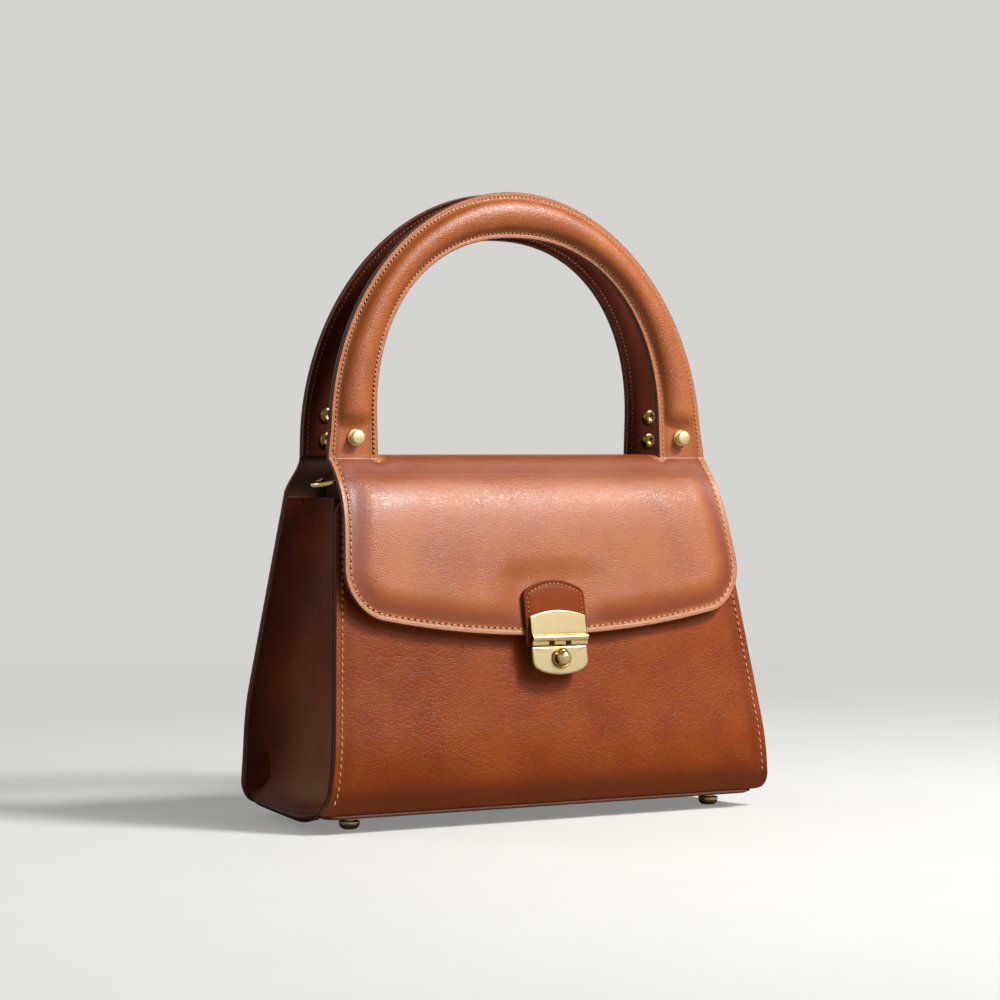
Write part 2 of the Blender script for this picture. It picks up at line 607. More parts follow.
def buildFrontLeather():
    base, quads, share, archEnd = archLeather(flapColumnRows(), -1, ridgeRows, flap["legBottom"], legRows, 1)
    normals = pointNormals(base, quads)
    distance = edgeDistances(base, quads)
    isArch = ~np.isnan(share)
    isStrip = np.arange(len(base)) >= archEnd
    across, z = np.abs(base[:, 0]), base[:, 2]
    flapFade = np.where(isArch | isStrip, 0, smoothStep((flap["foldZ"] - z) / flap["fade"]))
    # The panel swells over its lining, except where the lock's tab is sewn down on it
    tabRoom = np.hypot(np.maximum(0, across - flap["tabHalf"]), np.maximum(0, z - flap["tabTop"]))
    crown = smoothStep((distance - flap["margin"]) / flap["crownRun"]) * smoothStep(tabRoom / flap["tabEase"])
    relief = flap["crown"] * flapFade * crown
    relief -= flap["groove"] * bell(distance, flap["stitchIn"], bag["grooveWidth"]) * np.where(isStrip, 0.4, 1)
    relief += softWaves(base, flap["waveSize"], flap["waveHeight"], 1.0) * flapFade * crown
    pad = np.where(isArch, arch["padHeight"] * padSwell(np.nan_to_num(share), z, flap["padLow"]), 0)
    relief += pad
    # Fine radiating creases where each leg leaves the ridge
    legBase = bell(z, flap["ridge"], flap["creaseSpread"]) * (across > flap["ridgeHalf"]) * smoothStep(distance / 0.004)
    fan = (z + flap["creaseBend"] * (across - legMiddle) ** 2) * 2 * pi / flap["creasePitch"]
    relief -= legBase * flap["creaseDepth"] * (0.5 + 0.5 * np.cos(fan)) * ~isStrip
    depth = np.where(isArch, arch["skin"] - pad * arch["hollow"], flap["ridgeThickness"])
    flapDepth = flap["foldThickness"] + (flap["thickness"] - flap["foldThickness"]) * flapFade
    depth = np.where(isArch | isStrip, depth, flapDepth)
    # Burnishing: the fold and a band inside the stitching are darker, the margin itself stays pale
    ridgeTone = flap["ridgeTone"] * smoothStep((z - 0.1540) / 0.0080)
    tone = np.where(isArch, flap["legTone"] * bandTone(distance, *flap["legBand"]),
                    np.maximum(flap["bandTone"] * bandTone(distance, *flap["band"]), ridgeTone))
    paleMargin = smoothStep((flap["paleMargin"] - distance) / 0.0008)
    tone = tone * (1 - paleMargin) - flap["marginTone"] * paleMargin
    return leatherShell("front_leather", base + normals * relief[:, None] + lifted,
                        base - normals * depth[:, None] + lifted, quads,
                        [bagLeather, edgePaint, fleshSide], rimBulge, tone)


frontLeather = buildFrontLeather()
print("front leather:", len(frontLeather.data.polygons), "faces")

# The back leather: one hide from the base up the back and into the rear handle

backWall = {
    "rows": 52, "stitchIn": 0.0030, "groove": 0.0003, "legBottom": 0.1692, "padLow": 0.2070,
    "cornerDrop": 0.0058, "corner": 0.014, "drawnIn": 0.0028, "belly": 0.0008, "bellyRun": 0.018, "bellyTop": 0.166,
    "bellyFade": 0.02, "waveSize": 0.03, "waveHeight": 0.0004, "seed": 3.0, "band": (0.004, 0.001, 0.012, 0.005),
    "bandTone": 0.7, "thinFrom": 0.150, "thinRun": 0.018,
}


def wallRows(spots, top, topCorner, edgeAt, faceAt, side, rows, bottomAt):
    # Rows of points up a wall, close together along its lower edge and its rounded top
    low = toEdge(0.010, 10)
    high = toEdge(topCorner, 7) if topCorner else [0]
    grid = [[] for row in range(len(low) + rows + len(high) - 1)]
    for spot in spots:
        aside = spot[2] if spot[0] == "leg" else 1
        bottom = float(bottomAt(aside))
        end = top - (float(cornerCut(aside, topCorner)) if topCorner else 0)
        heights = [bottom + d for d in low]
        last = end - high[-1]
        heights += [heights[-1] + (last - heights[-1]) * k / rows for k in range(1, rows)]
        heights += [end - d for d in reversed(high)]
        for r, z in enumerate(heights):
            grid[r].append((columnX(spot, float(edgeAt(z, spot[1]))), side * float(faceAt(z)), z))
    return grid


def wallBelly(points, distance, wall):
    # A wall swells and waves a little, but stays flat along its edges and towards its top
    inner = smoothStep((distance - 0.004) / wall["bellyRun"])
    inner = inner * smoothStep((wall["bellyTop"] - points[:, 2]) / wall["bellyFade"])
    return wall["belly"] * inner + softWaves(points, wall["waveSize"], wall["waveHeight"], wall["seed"]) * inner


def sideEdge(z, side):
    # The back wall's edge, the same on both sides
    share = smoothStep((z - bag["shoulder"]) / (bag["backTop"] - bag["shoulder"]))
    low = halfWidth(min(z, bag["shoulder"])) - backWall["drawnIn"] * smoothStep((0.060 - z) / 0.036)
    return low + (arch["outerHalf"] - low) * share


def backBottom(aside):
    # the back corners hang lower than the base, with a large round
    fall = backWall["cornerDrop"] * (1 - smoothStep(aside / arch["legWidth"]))
    return bag["bottom"] - fall + cornerCut(aside, backWall["corner"])


def buildRearLeather():
    rows = wallRows(columnSpots(60), backWall["legBottom"], 0, sideEdge, backY, 1, backWall["rows"], backBottom)
    base, quads, share = archLeather(rows, 1, [], backWall["legBottom"], legRows)[:3]
    normals = pointNormals(base, quads)
    distance = edgeDistances(base, quads)
    isArch = ~np.isnan(share)
    z = base[:, 2]
    pad = arch["padHeight"] * padSwell(np.nan_to_num(share), z, backWall["padLow"]) * isArch
    relief = wallBelly(base, distance, backWall) + pad
    relief -= backWall["groove"] * bell(distance, backWall["stitchIn"], bag["grooveWidth"])
    thinner = (bag["wall"] - arch["skin"]) * smoothStep((z - backWall["thinFrom"]) / backWall["thinRun"])
    depth = np.where(isArch, arch["skin"] - pad * arch["hollow"], bag["wall"] - thinner)
    tone = backWall["bandTone"] * bandTone(distance, *backWall["band"]) * ~isArch
    return leatherShell("back_leather", base + normals * relief[:, None] + lifted,
                        base - normals * depth[:, None] + lifted, quads,
                        [wallLeather, edgePaint, fleshSide], rimBulge, tone)


rearLeather = buildRearLeather()

# The front wall, under the flap and down to the base

frontWall = {
    "rows": 54, "stitchIn": 0.0030, "groove": 0.0004, "grooveLow": 0.013, "corner": 0.0012,
    "flare": 0.0038, "swell": 0.0020, "round": 0.0090, "belly": 0.0007, "bellyRun": 0.02, "bellyTop": 0.118,
    "bellyFade": 0.03, "waveSize": 0.028, "waveHeight": 0.0005, "seed": 0.4, "band": (0.0040, 0.001, 0.011, 0.005),
    "bandTone": 0.4, "lowTop": 0.026, "lowTone": 0.85,
}


def panelSpots(count, fine=0.012):
    # Columns across a plain sheet, close together over fine at both edges
    steps = toEdge(fine, 12)
    return [("leg", -1, d) for d in steps] + [("leg", -1 + 2 * k / count, fine) for k in range(1, count)] + \
        [("leg", 1, d) for d in reversed(steps)]


def frontEdge(z, side):
    # just above the base the left corner turns outwards, and the right one swells and is rounded
    low = float(np.clip((0.019 - z) / 0.0095, 0, 1)) ** 1.8
    if side < 0:
        return halfWidth(z) + frontWall["flare"] * low
    return halfWidth(z) + frontWall["swell"] * low - float(cornerCut(max(z - bag["bottom"], 0), frontWall["round"]))


def frontBottom(aside):
    return bag["bottom"] + cornerCut(aside, frontWall["corner"])


def buildFrontPanel():
    base, quads = sheetOf(wallRows(panelSpots(84), bag["shoulder"], bag["topCorner"], frontEdge, wallY, -1,
                                   frontWall["rows"], frontBottom))
    normals = pointNormals(base, quads)
    distance = edgeDistances(base, quads)
    z = base[:, 2]
    relief = wallBelly(base, distance, frontWall)
    relief -= frontWall["groove"] * bell(distance, frontWall["stitchIn"], bag["grooveWidth"]) \
        * smoothStep((z - frontWall["grooveLow"]) / 0.003)
    tone = np.maximum(frontWall["bandTone"] * bandTone(distance, *frontWall["band"]),
                      frontWall["lowTone"] * smoothStep((frontWall["lowTop"] - z) / 0.012))
    return leatherShell("front_wall_leather", base + normals * relief[:, None] + lifted,
                        base - normals * bag["wall"] + lifted, quads,
                        [wallLeather, wallEdgePaint, fleshSide], rimBulge, tone)


frontPanel = buildFrontPanel()
print("walls ready")

# Gussets: dished sides whose edges turn out along the walls, over a rolled lip at the bottom

gusset = {
    "rows": 62, "columns": 64, "dishPower": 5, "dishShape": 0.62, "scoop": 0.020, "top": 0.150, "hem": 0.004,
    "low": 0.0048, "lowSag": 0.0016, "frontRise": 0.0026, "seamReach": 0.043, "lip": 0.0042, "lipRoll": 0.0013,
    "wallRoom": 0.0027 * 1.0184,  # the front wall's thickness with its glue, measured level through its slope
    "dimpleY": 0.0400, "dimpleZ": 0.0200, "dimpleWide": 0.0036, "dimpleHigh": 0.0065, "dimpleDepth": 0.0075,
    "waveSize": 0.02, "waveHeight": 0.0006, "foldDepth": 0.0005, "foldWidth": 0.0008, "edgeTone": 0.6, "haze": 0.6,
}


def gussetLow(s):
    # the lip hangs lowest in the middle and meets the base at the front corner; s runs from front -1 to back 1
    return gusset["low"] - gusset["lowSag"] * (1 - s * s) + gusset["frontRise"] * max(0, -s) ** 4


def gussetFace(side):
    lipRows = [k / 8 for k in range(9)]
    hemRows = [gusset["hem"] * sin(pi / 2 * k / 6) for k in range(7)]
    grid = [[] for row in range(len(lipRows) + gusset["rows"] - 1 + len(hemRows))]
    for k in range(gusset["columns"] + 1):
        s = sin(pi / 2 * (2 * k / gusset["columns"] - 1))
        low = gussetLow(s)
        fold = low + gusset["lip"]
        heights = [low + gusset["lip"] * share for share in lipRows]
        hemLow = gusset["top"] - gusset["hem"]
        heights += [fold + (hemLow - fold) * (r / gusset["rows"]) for r in range(1, gusset["rows"])]
        heights += [hemLow + d for d in hemRows]
        for r, z in enumerate(heights):
            back = sideEdge(z, side) - float(cornerCut(z - 0.0030, backWall["corner"]))
            front = frontEdge(z, side)
            edge = front + (back - front) * (s + 1) / 2
            reach = float(wallY(max(z, 0.0050))) - gusset["wallRoom"] - 0.0001
            rise = min(1, max(0, (z - fold) / gusset["scoop"]))
            dish = max(0, 1 - abs(s) ** gusset["dishPower"]) ** gusset["dishShape"]
            bow = bag["recess"] * (1 - (1 - rise) ** 3) ** 0.85 * dish
            y = s * (reach - bag["gussetLeather"])
            # the hide folds in on itself low down at the back corner, where the dish runs out into the round
            dimple = exp(-((y - gusset["dimpleY"]) / gusset["dimpleWide"]) ** 2
                         - ((z - gusset["dimpleZ"]) / gusset["dimpleHigh"]) ** 2)
            dimple *= gusset["dimpleDepth"] * min(1, bow / 0.004)
            lip = gusset["lipRoll"] * sin(pi * min(1, (z - low) / gusset["lip"])) if z < fold else 0
            grid[r].append((side * (edge - bow - dimple + lip * (1 - abs(s) ** 8)), y, z))
    return grid


def buildGusset(side, label):
    face, quads = sheetOf(gussetFace(side), side < 0)
    normals = pointNormals(face, quads)
    distance = edgeDistances(face, quads)
    y, z = face[:, 1], face[:, 2]
    fold = np.array([gussetLow(share) + gusset["lip"] for share in np.clip(y / gusset["seamReach"], -1, 1)])
    waves = softWaves(face[:, [1, 0, 2]], gusset["waveSize"], gusset["waveHeight"], side + 2.0)
    waves = waves * smoothStep((distance - 0.006) / 0.02)
    waves -= gusset["foldDepth"] * bell(z, fold, gusset["foldWidth"]) * smoothStep((distance - 0.002) / 0.002)
    # Darker along the edges and on the lip, and rubbed paler low down in the front half of the dish
    haze = gusset["haze"] * smoothStep((0.080 - z) / 0.055) * smoothStep((0.036 - y) / 0.04)
    tone = np.maximum(gusset["edgeTone"] * smoothStep((0.010 - distance) / 0.006),
                      smoothStep((fold + 0.001 - z) / 0.002))
    tone -= haze * smoothStep((distance - 0.006) / 0.006)
    return leatherShell(label + "_gusset_leather", face + normals * waves[:, None] + lifted,
                        face - normals * bag["gussetLeather"] + lifted, quads,
                        [gussetLeather, wallEdgePaint, fleshSide], rimBulge, tone)


gussetPieces = {side: buildGusset(side, label) for side, label in ((-1, "left"), (1, "right"))}
print("gussets ready")

# The base leather under everything, a little wider than the walls

baseSheet = {
    "halfX": 0.1158, "low": 0.0070, "high": 0.0085, "lip": 0.0008, "corner": 0.006, "drawnIn": 0.0045,
    "roundIn": 0.0018, "rows": 40, "bulge": 0.0005, "tone": 0.6,
}


def baseRow(place):
    halfY = float(wallY(bag["bottom"])) + baseSheet["lip"]
    row = []
    for kind, across, d in panelSpots(60, 0.006):
        y = (halfY - float(cornerCut(d, baseSheet["corner"]))) * sin(pi / 2 * (2 * place / baseSheet["rows"] - 1))
        edge = baseSheet["halfX"] - baseSheet["drawnIn"] * y / halfY
        if across >= 0:
            edge = baseSheet["halfX"] - baseSheet["drawnIn"] - baseSheet["roundIn"] * (1 - y / halfY) / 2
        row.append((across * (edge - d), y, baseSheet["low"]))
    return row


basePoints, baseQuads = sheetOf([baseRow(place) for place in range(baseSheet["rows"] + 1)], True)
baseUp = np.array([0, 0, baseSheet["high"] - baseSheet["low"]])
baseLeather = leatherShell("base_leather", basePoints + lifted, basePoints + lifted + baseUp, baseQuads,
                           [gussetLeather, wallEdgePaint, fleshSide], baseSheet["bulge"],
                           np.full(len(basePoints), baseSheet["tone"]))

# Suede lining: a pocket with a turned hem

liningBag = {
    "low": 0.0122, "top": 0.148, "hemLow": 0.1465, "hemRise": 0.0012, "floor": 0.0131, "thickness": 0.0009,
    "corner": 0.011, "sideRoom": 0.0010, "wallRoom": 0.0058, "rows": 34,
}


def liningRing(z, deeper):
    halfX = float(halfWidth(max(z, bag["bottom"] + bag["bottomCorner"]))) - bag["recess"] - bag["gussetLeather"]
    halfX -= liningBag["sideRoom"] + deeper
    halfY = float(wallY(z)) - liningBag["wallRoom"] - deeper
    corner = liningBag["corner"]
    ring = []
    for quarter, (sx, sy) in enumerate(((1, 1), (-1, 1), (-1, -1), (1, -1))):
        for k in range(9):
            a = pi / 2 * (quarter + k / 8)
            ring.append((sx * (halfX - corner) + corner * cos(a), sy * (halfY - corner) + corner * sin(a) + middleY, z))
    return ring


def liningWall(start, end, deeper):
    rows = liningBag["rows"]
    return [liningRing(start + (end - start) * k / rows, deeper) for k in range(rows + 1)]


liningRings = liningWall(liningBag["low"], liningBag["hemLow"], 0.0)
for k in range(7):
    turn = pi * k / 6
    liningRings.append(liningRing(liningBag["top"] - liningBag["hemRise"] + liningBag["hemRise"] * sin(turn),
                                  liningBag["thickness"] * (1 - cos(turn)) / 2))
liningRings += liningWall(liningBag["hemLow"], liningBag["floor"], liningBag["thickness"])
suedePocket = loftRings("suede_lining", liningRings, [liningSuede])
print("base and lining ready")

# Handle straps, the inner faces of both handles, and the felt rolls inside

strap = {"groove": 0.00025, "flare": 0.9, "tone": 0.8, "bulge": 0.0003}
roll = {"stations": 90, "halfShare": 0.31, "steps": 24, "skinRoom": 0.0001, "topRoom": 0.0004, "endRoom": 0.0045}


def buildStrap(side, label, legBottom):
    path = archPath(legBottom, arch["stations"], [0, 0.0003, 0.0010, 0.0022], strap["flare"] if side < 0 else 0)
    points, quads = sheetOf([acrossArch(station, side) for station in path], side < 0)
    distance = edgeDistances(points, quads)
    inwards = np.array([0, -side, 0])
    sunk = strap["groove"] * bell(distance, flap["stitchIn"], bag["grooveWidth"])
    face = points + inwards * (arch["skin"] + arch["glue"] + arch["strap"] - sunk[:, None])
    back = points + inwards * (arch["skin"] + arch["glue"])
    tone = strap["tone"] * smoothStep((0.009 - distance) / 0.004)
    return leatherShell(label + "_strap_leather", face + lifted, back + lifted, quads,
                        [strapLeather, edgePaint, fleshSide], strap["bulge"], tone)


def buildRoll(side, label, low):
    rings = []
    for ox, oz, ix, iz in archPath(flap["legBottom"], roll["stations"], [0]):
        if min(oz, iz) < low:
            continue
        ring = []
        for k in range(roll["steps"]):
            a = 2 * pi * k / roll["steps"]
            part = 0.5 + roll["halfShare"] * cos(a)
            x, z = ix + (ox - ix) * part, iz + (oz - iz) * part
            lift = arch["hollow"] * arch["padHeight"] * float(padSwell(part, z, low - roll["endRoom"]))
            lower = arch["skin"] - roll["skinRoom"]
            deep = lower if sin(a) < 0 else min(lower, lower - lift + roll["topRoom"])
            ring.append((x, side * (handleFace(z) - deep) + middleY, z))
        rings.append(ring if side < 0 else ring[::-1])
    return loftRings(label + "_felt_roll", rings, [feltFiller])


strapPieces = {side: buildStrap(side, label, low) for side, label, low in ((-1, "front", 0.1721), (1, "rear", 0.1696))}
rollPieces = {side: buildRoll(side, label, low) for side, label, low in ((-1, "front", 0.1895), (1, "rear", 0.2125))}
print("handles ready")

# Fittings. Turned parts are lathe profiles of (radius, height), with points enough to be round

sharpAt = {"turned": 32, "stamped": 30}  # degrees


def arcProfile(centreR, centreH, radiusR, radiusH, start, end, steps):
    turns = [radians(start + (end - start) * k / steps) for k in range(steps + 1)]
    return [(centreR + radiusR * cos(a), centreH + radiusH * sin(a)) for a in turns]


def turnedPiece(name, profile, place, materials, steps=48):
    points = [place @ Vector((0, 0, profile[0][1]))]
    rings = []
    for r, h in profile[1:-1]:
        rings.append(list(range(len(points), len(points) + steps)))
        points += [place @ Vector((r * cos(2 * pi * k / steps), r * sin(2 * pi * k / steps), h)) for k in range(steps)]
    last = len(points)
    points.append(place @ Vector((0, 0, profile[-1][1])))
    faces = [(0, rings[0][(k + 1) % steps], rings[0][k]) for k in range(steps)]
    for low, high in zip(rings, rings[1:]):
        faces += [(low[k], low[(k + 1) % steps], high[(k + 1) % steps], high[k]) for k in range(steps)]
    faces += [(last, rings[-1][k], rings[-1][(k + 1) % steps]) for k in range(steps)]
    if place.determinant() < 0:  # the lock's frame is mirrored
        faces = [face[::-1] for face in faces]
    return addPiece(name, points, faces, materials, sharpAngle=sharpAt["turned"])


def placeAt(origin, outwards):
    # A frame whose Z runs outwards, with X level
    z = Vector(outwards).normalized()
    level = Vector((1, 0, 0))
    x = (level - z * z.dot(level)).normalized()
    return Matrix.Translation(Vector(origin)) @ Matrix((x, z.cross(x), z)).transposed().to_4x4()


stud = {"base": 0.0040, "baseRise": 0.0010, "neck": 0.0021, "head": 0.0034, "height": 0.0046, "shank": 0.0012,
        "under": -0.0030, "out": 0.015698, "z": 0.1778}
studProfile = [(0, stud["under"]), (stud["shank"], stud["under"]), (stud["shank"], 0.0001),
               (stud["base"] - 0.0002, 0.0001)]
studProfile += arcProfile(stud["base"] - 0.0004, 0.0005, 0.0004, 0.0006, -30, 70, 5)
studProfile += [(stud["neck"] + 0.0006, stud["baseRise"] + 0.0001), (stud["neck"], stud["baseRise"] + 0.0006),
                (stud["neck"], stud["height"] - 0.0017), (stud["head"] - 0.0005, stud["height"] - 0.0016)]
studProfile += arcProfile(stud["head"] - 0.0006, stud["height"] - 0.0010, 0.0006, 0.0006, -60, 60, 8)
studProfile += [(stud["head"] * s, stud["height"] - 0.0004 * s * s - 0.00008) for s in (0.82, 0.66, 0.5, 0.33, 0.16)]
studProfile += [(0, stud["height"] - 0.00008)]
leanAway = atan(arch["lean"])
studPieces = []
for label, side in (("left", -1), ("right", 1)):
    place = placeAt((side * legMiddle, middleY - stud["out"], stud["z"]), (0, -cos(leanAway), sin(leanAway)))
    piece = turnedPiece("stud_" + label, studProfile, place, [satinBrass])
    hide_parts("front_stud_" + label)
    studPieces.append(piece)

rivet = {"radius": 0.0036, "rise": 0.0015, "dish": 0.0014, "floor": 0.0006, "shank": 0.0012, "under": -0.0040}
rivetSpots = (("lower", 0.015736, 0.1770), ("upper", 0.015184, 0.1885))
rivetProfile = [(0, rivet["under"]), (rivet["shank"], rivet["under"]), (rivet["shank"], -0.0001),
                (rivet["radius"] - 0.0003, -0.0001)]
rivetProfile += arcProfile(0.0022, 0, rivet["radius"] - 0.0022, rivet["rise"], 5, 118, 14)
rivetProfile += [(rivet["dish"] * s, rivet["floor"] + (rivet["rise"] * 0.85 - rivet["floor"]) * s ** 2.2)
                 for s in (0.92, 0.78, 0.62, 0.45, 0.25)] + [(0, rivet["floor"])]
rivetPieces = []
for label, side in (("left", -1), ("right", 1)):
    for level, y, z in rivetSpots:
        deep = arch["skin"] + arch["glue"] + arch["strap"]
        place = placeAt((side * legMiddle, middleY + y - deep + 0.0001, z), (0, -cos(leanAway), -sin(leanAway)))
        piece = turnedPiece("rivet_%s_%s" % (label, level), rivetProfile, place, [agedBrass])
        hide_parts("rear_rivet_%s_%s" % (label, level))
        rivetPieces.append(piece)

foot = {"radius": 0.0048, "flat": 0.0022, "dome": 0.0030}
footProfile = [(0, 0), (foot["flat"], 0)]
footProfile += arcProfile(foot["flat"], foot["dome"], foot["radius"] - foot["flat"], foot["dome"], -88, 0, 10)
footProfile += arcProfile(foot["radius"] - 0.0006, 0.0034, 0.0006, 0.0005, 0, 80, 4)
footProfile += [(0.0030, 0.0042), (0.0028, 0.0069), (0.0016, 0.0069), (0.0016, 0.0117), (0, 0.0117)]
footPieces = []
for end in ("front", "back"):
    for label in ("left", "right"):
        low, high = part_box("foot_%s_%s" % (end, label))
        place = Matrix.Translation(Vector(((low.x + high.x) / 2, (low.y + high.y) / 2, 0)))
        piece = turnedPiece("dome_foot_%s_%s" % (end, label), footProfile, place, [footBrass])
        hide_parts("foot_%s_%s" % (end, label))
        footPieces.append(piece)
print("studs, rivets and feet ready")

# The lock, drawn flat in its own frame: x across, y outwards, z up the wall

lock = {"width": 0.030, "out": 0.040348, "z": 0.0785, "slope": (0.98188, 0.189503), "knobZ": -0.0046,
        "holeRadius": 0.0042}
lockOut, lockUp = lock["slope"]
lockOrigin = Vector((0, middleY - lock["out"], lock["z"]))
lockPlace = Matrix.Translation(lockOrigin) @ Matrix((Vector((1, 0, 0)), Vector((0, -lockOut, lockUp)),
                                                    Vector((0, lockUp, lockOut)))).transposed().to_4x4()


def inset2d(outline, by):
    result = []
    count = len(outline)
    for k in range(count):
        a, b, c = (Vector(outline[(k + d) % count]) for d in (-1, 0, 1))
        n1 = Vector((-(b - a).y, (b - a).x)).normalized()
        n2 = Vector((-(c - b).y, (c - b).x)).normalized()
        way = (n1 + n2).normalized()
        result.append(b + way * by / max(0.3, way.dot(n1)))
    return result


def roundCorners(outline, radius, least=40):
    # A closed outline with each corner sharper than least degrees rounded
    result = []
    count, steps = len(outline), 6
    for k in range(count):
        a, b, c = (Vector(outline[(k + d) % count]) for d in (-1, 0, 1))
        into, out = (b - a).normalized(), (c - b).normalized()
        angle = into.angle(out)
        if angle < radians(least):
            result.append(tuple(b))
            continue
        back = radius * np.tan(angle / 2)
        start, end = b - into * back, b + out * back
        for s in range(steps + 1):
            t = s / steps
            result.append(tuple(start * (1 - t) ** 2 + b * 2 * t * (1 - t) + end * t * t))
    return result


def platePiece(name, outline, back, face, bevel, materials, hole=None):
    # A stamped plate with rolled-over front edges: rings run from the back, over the edge, to the face, and down
    # the hole where there is one, given as (centre, radius)
    steps = 3
    turns = [pi / 2 * k / steps for k in range(steps + 1)]
    rings = [(inset2d(outline, 0.00005), back), (outline, back + 0.0001)]
    rings += [(inset2d(outline, bevel * (1 - cos(a))), face - bevel + bevel * sin(a)) for a in turns]
    rings.append((inset2d(outline, bevel + 0.0002), face))
    if hole:
        centre, radius = Vector(hole[0]), hole[1]
        ways = [(Vector(p) - centre).normalized() for p in outline]
        rings.append(([centre + w * (radius + 0.0006) for w in ways], face))
        rings += [([centre + w * (radius + 0.0003 * (1 - sin(a))) for w in ways], face - 0.0003 * (1 - cos(a)))
                  for a in turns]
        rings.append(([centre + w * radius for w in ways], back))
    placed = [[lockPlace @ Vector((p[0], y, p[1])) for p in ring] for ring, y in rings]
    return loftRings(name, placed, materials, closed=hole is not None, sharpAngle=sharpAt["stamped"])


def finePath(outline, step):
    result = []
    for k in range(len(outline)):
        a, b = Vector(outline[k]), Vector(outline[(k + 1) % len(outline)])
        parts = max(1, int((b - a).length / step))
        result += [tuple(a.lerp(b, s / parts)) for s in range(parts)]
    return result


upperPlate = {"low": 0.0066, "top": 0.0177, "curve": 0.0027, "corner": 0.0007, "back": 0.0092, "face": 0.0103,
              "bevel": 0.00035}
half = lock["width"] / 2
upperOutline = [(-half, upperPlate["low"]), (half, upperPlate["low"])]
upperOutline += [(half * across, upperPlate["top"] - upperPlate["curve"] * across ** 2)
                 for across in (1 - 2 * k / 16 for k in range(17))]
haspPlate = platePiece("lock_upper_plate", roundCorners(upperOutline, upperPlate["corner"]), upperPlate["back"],
                       upperPlate["face"], upperPlate["bevel"], [brass])
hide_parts("hasp_plate")

shield = {"top": 0.0010, "height": 0.0133, "curve": 0.0064, "corner": 0.0005, "back": 0.0082, "face": 0.0093,
          "bevel": 0.0007}
sideLow = shield["top"] - shield["height"] + shield["curve"]
shieldOutline = [(half, shield["top"]), (-half, shield["top"])] + \
    [(-half * cos(pi * k / 28), sideLow - shield["curve"] * sin(pi * k / 28) ** 0.9) for k in range(29)]
shieldOutline = finePath(roundCorners(shieldOutline, shield["corner"], least=60), 0.0007)
shieldPlate = platePiece("lock_shield_plate", shieldOutline, shield["back"], shield["face"], shield["bevel"], [brass],
                         hole=((0, lock["knobZ"]), lock["holeRadius"]))
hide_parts("lock_plate")


def tubeRing(x, centre, radius, steps):
    # A ring about the lock's x axis
    y, z = centre
    turns = [2 * pi * k / steps for k in range(steps)]
    return [lockPlace @ Vector((x, y + radius * cos(a), z + radius * sin(a))) for a in turns]


# The rolled bar is a bent tube, open at its ends, over a strip that runs down behind the shield
bar = {"y": 0.0098, "z": 0.0048, "radius": 0.00175, "bore": 0.0010, "edge": 0.00015, "tongueLow": 0.0014,
       "slotDepth": 0.0007, "steps": 28}


def rolledBar():
    steps, edge = bar["steps"], bar["edge"]
    stops = ((-half, bar["bore"]), (-half, bar["radius"] - edge), (-half + edge, bar["radius"]),
             (half - edge, bar["radius"]), (half, bar["radius"] - edge), (half, bar["bore"]))
    points = [p for x, r in stops for p in tubeRing(x, (bar["y"], bar["z"]), r, steps)]
    faces = [face[::-1] for face in ringFaces(steps, len(stops), True)]
    # the strip below the bar has two short slots, left as shallow grooves
    start, slotStart = len(points), len(faces)
    sections = [(0.0088, 0.0046), (0.0101, 0.0034), (0.0101, 0.0017), (0.0098, bar["tongueLow"]),
                (0.0088, bar["tongueLow"])]
    stations = ((-half, 0), (-0.0062, 0), (-0.0060, 1), (-0.0030, 1), (-0.0028, 0), (0.0028, 0), (0.0030, 1),
                (0.0060, 1), (0.0062, 0), (half, 0))
    for x, sunk in stations:
        for k, (y, z) in enumerate(sections):
            points.append(lockPlace @ Vector((x, y - (bar["slotDepth"] * sunk if k == 2 else 0), z)))
    faces += [tuple(start + v for v in face) for face in ringFaces(len(sections), len(stations))]
    shaded = [0] * len(faces)
    for r in (2, 6):
        for k in (1, 2):
            shaded[slotStart + r * len(sections) + k] = 1
    return addPiece("lock_rolled_bar", points, faces, [brightBrass, slotShade], shaded, sharpAngle=sharpAt["turned"])


haspBar = rolledBar()
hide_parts("hasp_bar")

knob = {"radius": 0.0036, "neck": 0.0026, "reach": 0.0046, "plate": 0.0102, "steps": 56}
knobProfile = [(0, 0.0037), (0.0012, 0.0037), (0.0012, 0.0060), (0.0030, 0.0060), (0.0030, 0.0080),
               (knob["neck"], 0.0080), (knob["neck"], knob["plate"] + 0.0012),
               (knob["radius"] - 0.0004, knob["plate"] + 0.0013)]
knobProfile += arcProfile(0, knob["plate"] + 0.0018, knob["radius"], knob["reach"] - 0.0018, -8, 89, 14)
knobProfile += [(0, knob["plate"] + knob["reach"])]
knobPlace = lockPlace @ Matrix.Translation((0, 0, lock["knobZ"])) @ Matrix.Rotation(-pi / 2, 4, "X")
knobPiece = turnedPiece("lock_push_knob", knobProfile, knobPlace, [brightBrass], knob["steps"])
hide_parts("lock_knob")

# The collar that guides the knob through the shield
collar = {"inner": 0.0038, "outer": 0.0049, "rise": 0.0014, "back": 0.0092}


def collarRing(radius, rise):
    turns = [2 * pi * k / knob["steps"] for k in range(knob["steps"])]
    return [lockPlace @ Vector((radius * cos(a), collar["back"] + rise, lock["knobZ"] + radius * sin(a)))
            for a in turns]


